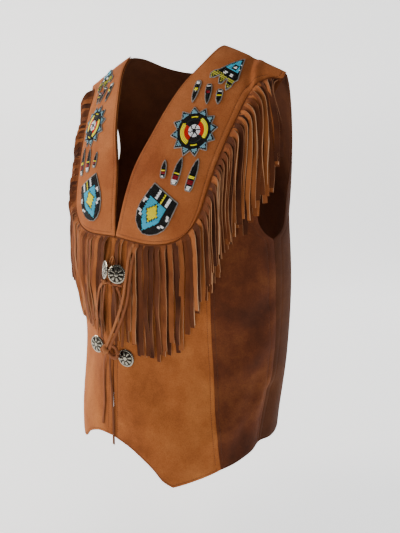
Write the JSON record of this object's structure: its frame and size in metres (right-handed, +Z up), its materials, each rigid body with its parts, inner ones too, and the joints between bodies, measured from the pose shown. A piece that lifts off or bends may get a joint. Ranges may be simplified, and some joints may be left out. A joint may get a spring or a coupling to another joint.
{
  "type": "fringed suede vest",
  "caption": "Fringed brown suede vest with beaded yokes, silver conchos and lace ties, in its worn hollow form.",
  "frame": {"origin": "on the shoulder line, midway between the two sides of the neck", "axes": "+Z up, -Y out of the front, +X to the wearer's left"},
  "size_m": [0.4336, 0.2832, 0.6385],
  "materials": {
    "body_suede": "brushed suede nap",
    "side_suede": "brushed suede nap",
    "yoke_suede": "brushed suede nap",
    "fringe_suede": "cut suede",
    "lace_leather": "soft lace leather",
    "glass_beads": "glossy opaque seed beads",
    "silver_conchos": "worn polish, stamped"
  },
  "bodies": {
    "root": {"front_centre_left": "body_suede", "front_side_left": "side_suede", "yoke_left": "yoke_suede", "fringe_left": "fringe_suede", "rosette_left": "glass_beads", "shield_left": "glass_beads", "arrowhead_left": "glass_beads", "feather_upper_inner_left": "glass_beads", "feather_upper_middle_left": "glass_beads", "feather_upper_outer_left": "glass_beads", "feather_lower_inner_left": "glass_beads", "feather_lower_middle_left": "glass_beads", "feather_lower_outer_left": "glass_beads", "front_centre_right": "body_suede", "front_side_right": "side_suede", "yoke_right": "yoke_suede", "fringe_right": "fringe_suede", "rosette_right": "glass_beads", "shield_right": "glass_beads", "arrowhead_right": "glass_beads", "feather_upper_inner_right": "glass_beads", "feather_upper_middle_right": "glass_beads", "feather_upper_outer_right": "glass_beads", "feather_lower_inner_right": "glass_beads", "feather_lower_middle_right": "glass_beads", "feather_lower_outer_right": "glass_beads", "back": "body_suede", "concho_upper_right": "silver_conchos", "concho_upper_left": "silver_conchos", "concho_lower_right": "silver_conchos", "concho_lower_left": "silver_conchos", "tie_tab": "lace_leather", "tie_upper": "lace_leather", "tie_lower": "lace_leather", "lace_upper_1": "lace_leather", "lace_upper_2": "lace_leather", "lace_upper_3": "lace_leather", "lace_upper_4": "lace_leather", "lace_lower_1": "lace_leather", "lace_lower_2": "lace_leather", "lace_cross_1": "lace_leather", "lace_cross_2": "lace_leather"}
  },
  "joints": []
}
